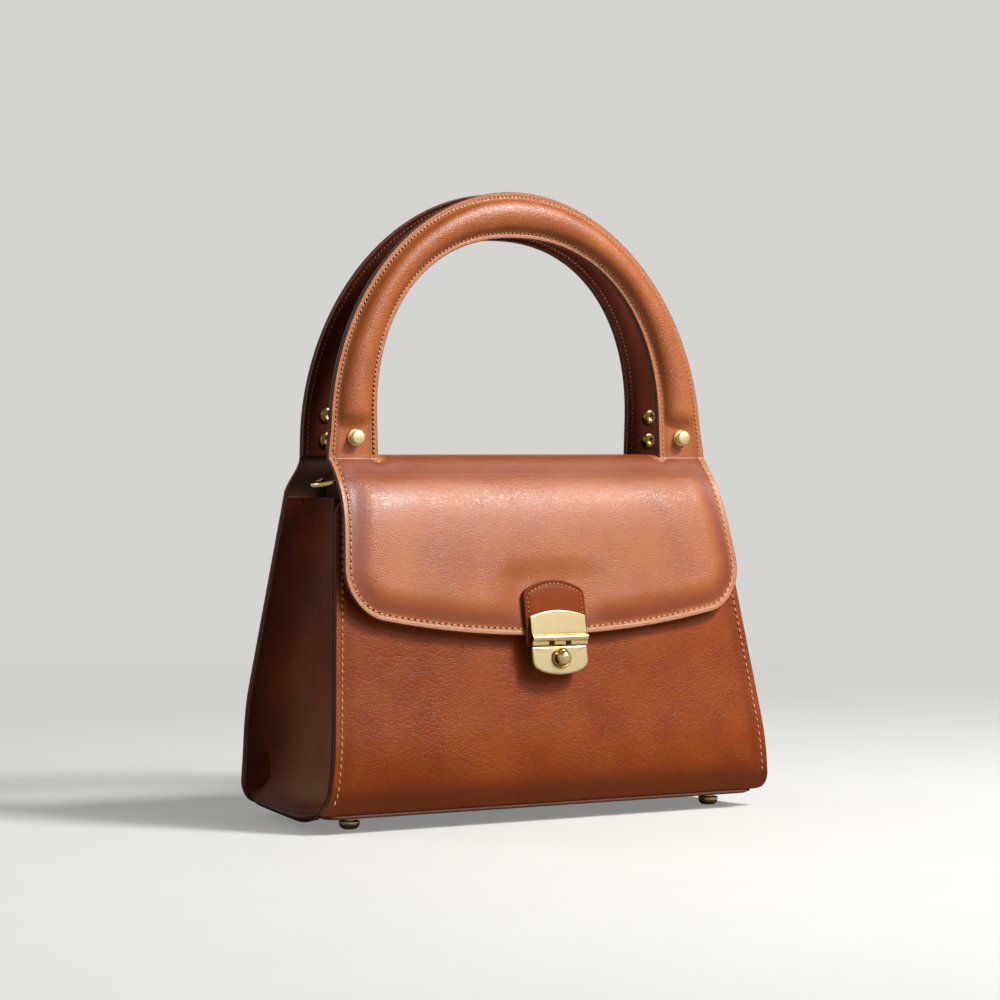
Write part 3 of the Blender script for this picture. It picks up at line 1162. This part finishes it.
collarRings = [collarRing(*spot) for spot in (
    (collar["inner"], 0.0), (collar["inner"], collar["rise"] - 0.0001), (collar["inner"] + 0.0002, collar["rise"]),
    (collar["outer"] - 0.0004, collar["rise"]), (collar["outer"] - 0.0001, collar["rise"] - 0.0002),
    (collar["outer"], 0.0))]
collarPiece = loftRings("lock_knob_collar", collarRings, [agedBrass], closed=True, inwards=True,
                        sharpAngle=sharpAt["turned"])

# The leather tab that carries the upper plate
tab = {"width": 0.0326, "low": 0.0022, "top": 0.0320, "arch": 0.0050, "corner": 0.0022, "fine": 0.004,
       "back": 0.0067, "face": 0.0088, "skived": 0.0014, "skivedTo": 0.0090, "crown": 0.0003, "seamIn": 0.0016,
       "levels": (0, 0.02, 0.08, 0.2, 0.35, 0.5, 0.65, 0.78), "seamLow": 0.0165, "seamCorner": 0.0012}


def lockTab():
    halfTab, fine = tab["width"] / 2, tab["fine"]
    edgeSteps = toEdge(fine, 9)
    xs = [-halfTab + d for d in edgeSteps] + [-halfTab + fine + (halfTab - fine) * 2 * k / 18 for k in range(1, 18)]
    xs += [halfTab - d for d in reversed(edgeSteps)]
    tops = [tab["top"] - tab["arch"] * (x / halfTab) ** 2 - float(cornerCut(halfTab - abs(x), tab["corner"]))
            for x in xs]
    rows = [[(x, 0, tab["low"] + (top - fine - tab["low"]) * share / tab["levels"][-1]) for x, top in zip(xs, tops)]
            for share in tab["levels"]]
    rows += [[(x, 0, top - d) for x, top in zip(xs, tops)] for d in reversed(edgeSteps[:-1])]
    flat, quads = sheetOf(rows)
    distance = edgeDistances(flat, quads)
    # its end behind the bar is skived thin
    skived = tab["skived"] * smoothStep((tab["skivedTo"] - flat[:, 2]) / 0.0020)
    rise = tab["face"] - skived + tab["crown"] * smoothStep((distance - 0.0012) / 0.004) \
        - tab["crown"] * bell(distance, tab["seamIn"], 0.0005)
    face = flat + np.stack([np.zeros(len(flat)), rise, np.zeros(len(flat))], 1)
    back = flat + np.array([0, tab["back"], 0])
    tone = 0.8 * smoothStep((0.0030 - distance) / 0.001)
    turnTo = np.array(lockPlace)
    face, back = (block @ turnTo[:3, :3].T + turnTo[:3, 3] for block in (face, back))
    return leatherShell("lock_tab_leather", face, back, quads, [tabLeather, edgePaint, fleshSide], 0.0003, tone)


tabPiece = lockTab()
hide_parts("lock_tab")
print("lock ready")

# D-rings with their leather loops

ring = {"wire": 0.0012, "barHalf": 0.009, "reach": 0.011, "droop": 14, "x": 0.091692, "z": 0.1585, "steps": 16}


def dRing(name, side):
    centre = Vector((side * ring["x"], middleY, ring["z"]))
    out = Vector((side * cos(radians(ring["droop"])), 0, -sin(radians(ring["droop"]))))
    barWay = Vector((0, 1, 0))
    up = out.cross(barWay)
    path = [centre + barWay * ring["barHalf"] * (2 * k / 10 - 1) for k in range(1, 10)]
    path += [centre + barWay * (ring["barHalf"] * cos(pi * k / 40)) + out * (ring["reach"] * sin(pi * k / 40))
             for k in range(41)]
    turns = [2 * pi * s / ring["steps"] for s in range(ring["steps"])]
    rings = []
    for k, point in enumerate(path):
        along = (path[(k + 1) % len(path)] - path[k - 1]).normalized()
        across = along.cross(up)
        rings.append([point + (across * cos(a) + up * sin(a)) * ring["wire"] for a in turns])
    return loftRings(name, rings, [brightBrass], closed=True, inwards=True)


ringPieces = {}
for label, side in (("left", -1), ("right", 1)):
    ringPieces[side] = dRing(label + "_brass_d_ring", side)
    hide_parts(label + "_d_ring")
print("rings ready")

# Stitching: seam paths lie on the leather, and one Geometry Nodes tree sets a stitch or an awl mark at each step

def stitchTree():
    tree = bpy.data.node_groups.new("handSewnStitches", "GeometryNodeTree")
    ports = tree.interface
    ports.new_socket("Seam", in_out="INPUT", socket_type="NodeSocketGeometry")
    for name, value in (("Pitch", 0.003), ("Start", 0.0), ("Stitch Length", 0.0024), ("Thread Width", 0.0007),
                        ("Thread Height", 0.0006), ("Lift", 0.0001), ("Slant", 0.2), ("Unevenness", 0.05)):
        ports.new_socket(name, in_out="INPUT", socket_type="NodeSocketFloat").default_value = value
    ports.new_socket("Seed", in_out="INPUT", socket_type="NodeSocketInt").default_value = 3
    ports.new_socket("Material", in_out="INPUT", socket_type="NodeSocketMaterial")
    ports.new_socket("Stitches", in_out="OUTPUT", socket_type="NodeSocketGeometry")
    given = addNode(tree, "NodeGroupInput").outputs
    curve = addNode(tree, "GeometryNodeMeshToCurve", links={0: given["Seam"]})
    trimmed = addNode(tree, "GeometryNodeTrimCurve", {"mode": "LENGTH"}, {5: 100.0},
                      {"Curve": curve.outputs[0], 4: given["Start"]})
    spaced = addNode(tree, "GeometryNodeResampleCurve", {"mode": "LENGTH"},
                     links={"Curve": trimmed.outputs[0], "Length": given["Pitch"]})
    outwards = addNode(tree, "GeometryNodeInputNamedAttribute", {"data_type": "FLOAT_VECTOR"}, {"Name": "seamNormal"})
    lift = addNode(tree, "ShaderNodeVectorMath", {"operation": "SCALE"},
                   links={0: outwards.outputs[0], "Scale": given["Lift"]})
    raised = addNode(tree, "GeometryNodeSetPosition", links={"Geometry": spaced.outputs[0], "Offset": lift.outputs[0]})
    # Each stitch lies along the seam, upright on the leather, and is then turned by its slant
    tangent = addNode(tree, "GeometryNodeInputTangent")
    along = addNode(tree, "FunctionNodeAlignRotationToVector", {"axis": "X"}, links={"Vector": tangent.outputs[0]})
    upright = addNode(tree, "FunctionNodeAlignRotationToVector", {"axis": "Z", "pivot_axis": "X"},
                      links={"Rotation": along.outputs[0], "Vector": outwards.outputs[0]})
    around = {0: given["Slant"], 1: given["Unevenness"]}
    least = addNode(tree, "ShaderNodeMath", {"operation": "SUBTRACT"}, links=around)
    most = addNode(tree, "ShaderNodeMath", {"operation": "ADD"}, links=around)
    slant = addNode(tree, "FunctionNodeRandomValue", {"data_type": "FLOAT"},
                    links={2: least.outputs[0], 3: most.outputs[0], "Seed": given["Seed"]})
    leaning = addNode(tree, "FunctionNodeAxisAngleToRotation", values={"Axis": (0, 0, 1)},
                      links={"Angle": slant.outputs[1]})
    turned = addNode(tree, "FunctionNodeRotateRotation", {"rotation_space": "LOCAL"},
                     links={"Rotation": upright.outputs[0], "Rotate By": leaning.outputs[0]})
    bead = addNode(tree, "GeometryNodeMeshUVSphere", values={"Segments": 8, "Rings": 5, "Radius": 0.5})
    size = addNode(tree, "ShaderNodeCombineXYZ",
                   links={"X": given["Stitch Length"], "Y": given["Thread Width"], "Z": given["Thread Height"]})
    sized = addNode(tree, "GeometryNodeTransform", links={"Geometry": bead.outputs[0], "Scale": size.outputs[0]})
    placed = addNode(tree, "GeometryNodeInstanceOnPoints",
                     links={"Points": raised.outputs[0], "Instance": sized.outputs[0], "Rotation": turned.outputs[0]})
    real = addNode(tree, "GeometryNodeRealizeInstances", links={"Geometry": placed.outputs[0]})
    smooth = addNode(tree, "GeometryNodeSetShadeSmooth", links={"Geometry": real.outputs[0]})
    coloured = addNode(tree, "GeometryNodeSetMaterial",
                       links={"Geometry": smooth.outputs[0], "Material": given["Material"]})
    addNode(tree, "NodeGroupOutput", links={"Stitches": coloured.outputs[0]})
    return tree


stitchNodes = stitchTree()


def seamMesh(name, seams):
    mesh = bpy.data.meshes.new(name)
    points, edges, outwards = [], [], []
    for path, normals in seams:
        start = len(points)
        points += [tuple(p) for p in path]
        outwards += [tuple(n) for n in normals]
        edges += [(start + k, start + k + 1) for k in range(len(path) - 1)]
    mesh.from_pydata(points, edges, [])
    mesh.attributes.new("seamNormal", "FLOAT_VECTOR", "POINT").data.foreach_set("vector", np.array(outwards).ravel())
    return mesh


def setStitches(name, seams, values):
    holder = linkObject(name, seamMesh(name, seams))
    modifier = holder.modifiers.new("sewing", "NODES")
    modifier.node_group = stitchNodes
    for socket in stitchNodes.interface.items_tree:
        if socket.in_out == "INPUT" and socket.name in values:
            modifier[socket.identifier] = values[socket.name]
    result = bpy.data.meshes.new_from_object(holder.evaluated_get(bpy.context.evaluated_depsgraph_get()))
    holder.modifiers.clear()
    bpy.data.objects.remove(holder)
    return linkObject(name, result)


def sew(name, seams, look, thread=threadTan):
    # Thread beads with an awl mark at each end of every stitch
    pitch = look["pitch"]
    stitches = setStitches(name + "_stitches", seams, {
        "Pitch": pitch, "Start": pitch / 2, "Stitch Length": pitch * look["fill"], "Thread Width": look["width"],
        "Thread Height": look["height"], "Lift": look["lift"], "Slant": look["slant"], "Unevenness": 0.07, "Seed": 5,
        "Material": thread})
    marks = setStitches(name + "_awl_marks", seams, {
        "Pitch": pitch, "Start": 0.0, "Stitch Length": look["mark"], "Thread Width": look["markWidth"],
        "Thread Height": 0.00022, "Lift": look["markLift"], "Slant": look["markSlant"], "Unevenness": 0.1, "Seed": 8,
        "Material": awlHole})
    return [stitches, marks]


def surfaceOf(piece):
    mesh = piece.data
    return BVHTree.FromPolygons([v.co for v in mesh.vertices], [p.vertices for p in mesh.polygons])


def layOn(surface, spots, way):
    # Drops each spot of a path on to the leather along way, and gives the path with its outward normals
    path, normals = [], []
    way = Vector(way)
    for spot in spots:
        hit, normal, _, _ = surface.ray_cast(Vector(spot) - way * 0.3, way)
        if hit is not None:
            path.append(hit)
            normals.append(normal if normal.dot(way) < 0 else -normal)
    return path, [sum(normals[max(0, k - 2):k + 3], Vector()).normalized() for k in range(len(normals))]


def insetOpen(outline, by):
    # The path that runs by inside an open outline of (x, z), whose inside is on its left
    result = []
    for k, spot in enumerate(outline):
        before, after = Vector(outline[max(0, k - 1)]), Vector(outline[min(len(outline) - 1, k + 1)])
        way = (after - before).normalized()
        result.append((spot[0] - way.y * by, spot[1] + way.x * by))
    return result


def archSeam(low, fromOuter, flared=0):
    # A seam up one leg, round the arch and down the other, beside its outer or its inner edge
    spots = []
    for ox, oz, ix, iz in archPath(low, 300, [0, 0.002, 0.004], flared):
        across = Vector((ix - ox, iz - oz)).normalized() * handleThread["inFrom"]
        spots.append((ox + across.x, 0, oz + across.y) if fromOuter else (ix - across.x, 0, iz - across.y))
    return spots


def wallSeam(side, top, low, edgeAt, by):
    return [(side * (float(edgeAt(z, side)) - by), 0, z) for z in np.linspace(top, low, 300)]


def levelSeam(half, y, z, count):
    return [(x, y, z) for x in np.linspace(-half, half, count)]


def evenly(outline, step=0.0008):
    result = [outline[0]]
    for a, b in zip(outline, outline[1:]):
        parts = max(1, int((Vector(b) - Vector(a)).length / step))
        result += [tuple(Vector(a).lerp(Vector(b), k / parts)) for k in range(1, parts + 1)]
    return result


# fill is the stitch's share of its pitch; slants are in radians
handleThread = {"pitch": 0.0022, "inFrom": 0.0021, "fill": 0.70, "width": 0.00070, "height": 0.00060, "lift": 0.00012,
                "slant": 0.38, "mark": 0.0013, "markWidth": 0.00095, "markLift": 0.00003, "markSlant": 0.95}
flapThread = dict(handleThread, pitch=0.0032, width=0.00085, height=0.00070, slant=0.30, mark=0.0016, markWidth=0.0011)
wallThread = dict(handleThread, pitch=0.0033, width=0.00085, height=0.00065, slant=0.18, mark=0.0017, markWidth=0.0012)
tabThread = dict(handleThread, pitch=0.0021, width=0.00052, height=0.00055, slant=0.25, mark=0.00090,
                 markWidth=0.00060)
gussetThread = dict(wallThread, pitch=0.0030, width=0.00055, mark=0.0009, markWidth=0.0006)
ridgeThread = dict(wallThread, pitch=0.0030, height=0.00025, lift=0.00002)

frontSurface, rearSurface, wallSurface = surfaceOf(frontLeather), surfaceOf(rearLeather), surfaceOf(frontPanel)
intoFront, intoBack = (0, 1, 0), (0, -1, 0)

# The flap's seam: down the left side, in round the corner, along the bottom to the middle, and mirrored
lowEdge = float(flapEdge(flap["low"]))
halfOutline = [(-float(flapEdge(z)), z) for z in np.linspace(0.1705, flapBottom(lowEdge), 90)]
halfOutline += [(-float(flapEdge(flapBottom(lowEdge - d))) + d, flapBottom(lowEdge - d)) for d in toEdge(0.020, 24)[1:]]
halfOutline += [(x, flapBottom(x)) for x in np.linspace(-lowEdge + 0.0205, 0, 110)]
flapOutline = evenly(halfOutline + [(-x, z) for x, z in reversed(halfOutline[:-1])])
flapSeam = [(x, 0, z) for x, z in insetOpen(flapOutline, flap["stitchIn"])]
ridgeSeam = levelSeam(0.0765, middleY + flap["ridgeBack"] - 0.0026, 0.1, 160)
flapSewing = sew("flap_edge", [layOn(frontSurface, flapSeam, intoFront)], flapThread)
handleSewing = sew("front_handle_edge", [layOn(frontSurface, archSeam(0.1718, True, 1), intoFront),
                                         layOn(frontSurface, archSeam(0.1705, False), intoFront)], handleThread)
handleSewing += sew("ridge_edge", [layOn(frontSurface, ridgeSeam, (0, 0, -1))], ridgeThread)


def sewArch(name, surface, low, way, thread):
    return sew(name, [layOn(surface, archSeam(low, outer), way) for outer in (True, False)], handleThread, thread)


frontStrapSewing = sewArch("front_strap_edge", surfaceOf(strapPieces[-1]), 0.1730, intoBack, threadBrown)
rearStrapSewing = sewArch("rear_strap_edge", surfaceOf(strapPieces[1]), 0.1705, intoFront, threadBrown)
rearHandleSewing = sewArch("rear_handle_edge", rearSurface, 0.1705, intoBack, threadTan)

wallSeams = [layOn(wallSurface, wallSeam(side, 0.1455, low, frontEdge, frontWall["stitchIn"]), intoFront)
             for side, low in ((-1, 0.0145), (1, 0.0185))]
wallSewing = sew("front_wall_edge", wallSeams, wallThread)
backSeams = [wallSeam(side, 0.1685, 0.0200, sideEdge, backWall["stitchIn"]) for side in (-1, 1)]
backSeams.append(levelSeam(0.076, 0, backWall["legBottom"] - 0.0030, 150))
backSewing = sew("back_wall_edge", [layOn(rearSurface, seam, intoBack) for seam in backSeams], wallThread)

gussetSewing = []
for side, label in ((-1, "left"), (1, "right")):
    surface = surfaceOf(gussetPieces[side])
    reach = float(wallY(gusset["top"])) - 0.0062
    topSeam = [(0, middleY + y, gusset["top"] - 0.0030) for y in np.linspace(-reach, reach, 60)]
    lipSeam = [(0, middleY + y, gussetLow(y / gusset["seamReach"]) + gusset["lip"])
               for y in np.linspace(-0.039, 0.037, 90)]
    gussetSewing += sew(label + "_gusset_edge", [layOn(surface, seam, (-side, 0, 0)) for seam in (topSeam, lipSeam)],
                        gussetThread, threadBrown)

halfTab = tab["width"] / 2 - 0.0017


def tabSeamTop(x):
    # The seam's height below the tab's arched top
    top = tab["top"] - tab["seamIn"] - tab["arch"] * (x / halfTab) ** 2
    return top - float(cornerCut(halfTab - abs(x), tab["seamCorner"]))


tabOutline = [(-halfTab, z) for z in np.linspace(tab["seamLow"], tabSeamTop(halfTab), 20)]
tabOutline += [(x, tabSeamTop(x)) for x in (*(-halfTab + np.array(toEdge(tab["seamCorner"], 6)[1:])),
                                            *np.linspace(-halfTab + 0.0014, 0, 24))]
tabOutline += [(-x, z) for x, z in reversed(tabOutline[:-1])]
tabSpots = [lockPlace @ Vector((x, 0, z)) for x, z in evenly(tabOutline, 0.0005)]
intoTab = tuple(lockPlace.to_3x3() @ Vector((0, -1, 0)))
tabSewing = sew("lock_tab_edge", [layOn(surfaceOf(tabPiece), tabSpots, intoTab)], tabThread)
print("stitching ready")

# What each piece stands for, and what it rides on

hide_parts("flap_panel", "flap_top", "front_handle_skin", "flap_lining")
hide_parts("back_panel", "rear_handle_skin")
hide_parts("front_panel")
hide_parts("left_gusset")
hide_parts("right_gusset")
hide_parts("base_panel")
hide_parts("lining")
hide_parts("front_handle_strap")
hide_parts("rear_handle_strap")
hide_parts("front_handle_core")
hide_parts("rear_handle_core")
for piece in (frontPanel, baseLeather, suedePocket, shieldPlate, collarPiece, *gussetPieces.values(), *footPieces,
              *wallSewing, *gussetSewing):
    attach(piece, "bag_body")
for piece in (strapPieces[-1], rollPieces[-1], *studPieces, *frontStrapSewing):
    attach(piece, "front_handle")
for piece in (strapPieces[1], rollPieces[1], *rivetPieces, *rearStrapSewing):
    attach(piece, "rear_handle")
for piece in (tabPiece, haspPlate, haspBar, *tabSewing):
    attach(piece, "flap")
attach(knobPiece, "knob")
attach(ringPieces[-1], "left_ring")
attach(ringPieces[1], "right_ring")
for piece in (frontLeather, *flapSewing, *handleSewing):
    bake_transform(piece)
for piece in (rearLeather, *backSewing, *rearHandleSewing):
    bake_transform(piece)
keptNodes = {  # the CAD nodes that stay, by the finish they get
    pressedBoard: ("front_board", "back_board", "base_board"),
    nickelSteel: ("lock_case", "lock_backplate", "lock_screw_left", "lock_screw_right", "foot_washer_front_left",
                  "foot_washer_front_right", "foot_washer_back_left", "foot_washer_back_right"),
    springSteel: ("knob_spring",),
    strapLeather: ("left_ring_tab", "right_ring_tab"),
}
for material, names in keptNodes.items():
    for name in names:
        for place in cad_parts[name].material_slots:
            place.material = material

# Camera, lamps, floor

camera = {"lens": 115.2, "azimuth": -30.97, "elevation": 0.909, "distance": 1.5258, "aside": -0.002423,
          "height": 0.148284}
turn, tilt = radians(camera["azimuth"]), radians(camera["elevation"])
rightWay = Vector((cos(turn), sin(turn), 0))
backWay = Vector((sin(turn) * cos(tilt), -cos(turn) * cos(tilt), sin(tilt)))
upWay = backWay.cross(rightWay)
target = rightWay * camera["aside"] + Vector((0, middleY, camera["height"]))
lens = bpy.data.cameras.new("studioCamera")
lens.lens = camera["lens"]
lens.sensor_width = 36
lens.clip_start = 0.05
lens.clip_end = 50
cameraObject = linkObject("studioCamera", lens)
cameraObject.matrix_world = Matrix.Translation(target + backWay * camera["distance"]) @ \
    Matrix((rightWay, upWay, backWay)).transposed().to_4x4()
bpy.context.scene.camera = cameraObject

lamps = {
    "softKey": {"azimuth": 38, "elevation": 47, "distance": 1.5, "size": 0.36, "power": 28},
    "topSoftbox": {"azimuth": 30, "elevation": 36, "distance": 2.0, "size": 1.1, "power": 20},
    "frontFill": {"azimuth": 0, "elevation": 28, "distance": 1.9, "size": 1.4, "power": 2.5},
    "backEdge": {"azimuth": -140, "elevation": 35, "distance": 1.6, "size": 0.7, "power": 3},
}
for name, lamp in lamps.items():
    data = bpy.data.lights.new(name, "AREA")
    data.shape = "DISK"
    data.size = lamp["size"]
    data.energy = lamp["power"]
    a, e = radians(lamp["azimuth"]), radians(lamp["elevation"])
    way = Vector((sin(a) * cos(e), -cos(a) * cos(e), sin(e)))
    lampObject = linkObject(name, data)
    lampObject.location = Vector((0, 0, 0.14)) + way * lamp["distance"]  # all aim at the middle of the bag
    lampObject.rotation_euler = way.to_track_quat("Z", "Y").to_euler()

# light is what the walls shine on the bag with, seen what they look like to the camera and in reflections
backdrop = {"colour": "#F4F2EE", "light": 0.16, "seen": 0.74, "ceiling": 0.35}
sweep = {"tone": "#A29E98", "paint": ("#E4E2DD", "#EAE8E4"), "half": 6, "from": 0.20, "to": 1.3, "least": 0.35}

world = bpy.data.worlds.new("paleStudio")
bpy.context.scene.world = world
world.use_nodes = True
tree = world.node_tree
ray = addNode(tree, "ShaderNodeLightPath")
seen = addNode(tree, "ShaderNodeMath", {"operation": "ADD", "use_clamp": True},
               links={0: ray.outputs["Is Camera Ray"], 1: ray.outputs["Is Glossy Ray"]})
seenThrough = addNode(tree, "ShaderNodeMath", {"operation": "ADD", "use_clamp": True},
                      links={0: seen.outputs[0], 1: ray.outputs["Is Transmission Ray"]})
level = addNode(tree, "ShaderNodeMapRange", values={"To Min": backdrop["light"], "To Max": backdrop["seen"]},
                links={"Value": seenThrough.outputs[0]})
# The studio's ceiling is darker than its walls
sky = addNode(tree, "ShaderNodeTexCoord").outputs["Generated"]
skyWay = addNode(tree, "ShaderNodeSeparateXYZ", links={"Vector": sky})
ceiling = addNode(tree, "ShaderNodeMapRange", {"interpolation_type": "SMOOTHSTEP"},
                  {"From Min": 0.3, "From Max": 0.75, "To Min": 1.0, "To Max": backdrop["ceiling"]},
                  {"Value": skyWay.outputs["Z"]})
lit = addNode(tree, "ShaderNodeMath", {"operation": "MULTIPLY"}, links={0: level.outputs[0], 1: ceiling.outputs[0]})
tree.nodes["Background"].inputs["Color"].default_value = hexColour(backdrop["colour"])
tree.links.new(lit.outputs[0], tree.nodes["Background"].inputs["Strength"])

# Painted board: matt and pale, with the faint mottling of a roller, and toned down for all but the camera
floorMaterial, tree, shader = startMaterial("paleStudioFloor", {"Roughness": 0.8, "IOR": 1.4})
ray = addNode(tree, "ShaderNodeLightPath")
place = addNode(tree, "ShaderNodeTexCoord").outputs["Object"]
speckle = addNode(tree, "ShaderNodeTexNoise", values={"Scale": 1 / (60 * mm), "Detail": 2.0}, links={"Vector": place})
paint = addNode(tree, "ShaderNodeMix", {"data_type": "RGBA"},
                {6: hexColour(sweep["paint"][0]), 7: hexColour(sweep["paint"][1])}, {0: speckle.outputs["Fac"]})
floorTone = addNode(tree, "ShaderNodeMix", {"data_type": "RGBA"}, {6: hexColour(sweep["tone"])},
                    {0: ray.outputs["Is Camera Ray"], 7: paint.outputs[2]})
tree.links.new(floorTone.outputs[2], shader.inputs["Base Color"])
# Away from the bag the floor turns into the plain backdrop, as a paper sweep does
away = addNode(tree, "ShaderNodeVectorMath", {"operation": "LENGTH"}, links={0: place})
sweepShare = addNode(tree, "ShaderNodeMapRange", {"interpolation_type": "SMOOTHSTEP"},
                     {"From Min": sweep["from"], "From Max": sweep["to"], "To Min": sweep["least"]},
                     {"Value": away.outputs["Value"]})
sweepSeen = addNode(tree, "ShaderNodeMath", {"operation": "MULTIPLY"},
                    links={0: sweepShare.outputs[0], 1: ray.outputs["Is Camera Ray"]})
paper = addNode(tree, "ShaderNodeEmission",
                values={"Color": hexColour(backdrop["colour"]), "Strength": backdrop["seen"]})
blended = addNode(tree, "ShaderNodeMixShader",
                  links={0: sweepSeen.outputs[0], 1: shader.outputs[0], 2: paper.outputs[0]})
tree.links.new(blended.outputs[0], tree.nodes["Material Output"].inputs["Surface"])
floorMesh = bpy.data.meshes.new("studioFloor")
floorMesh.from_pydata([(x * sweep["half"], y * sweep["half"], 0) for x, y in ((-1, -1), (1, -1), (1, 1), (-1, 1))], [],
                      [(0, 1, 2, 3)])
floorMesh.materials.append(floorMaterial)
floor = linkObject("studioFloor", floorMesh)

bpy.context.scene.view_settings.view_transform = "Standard"
print("camera and lamps ready")
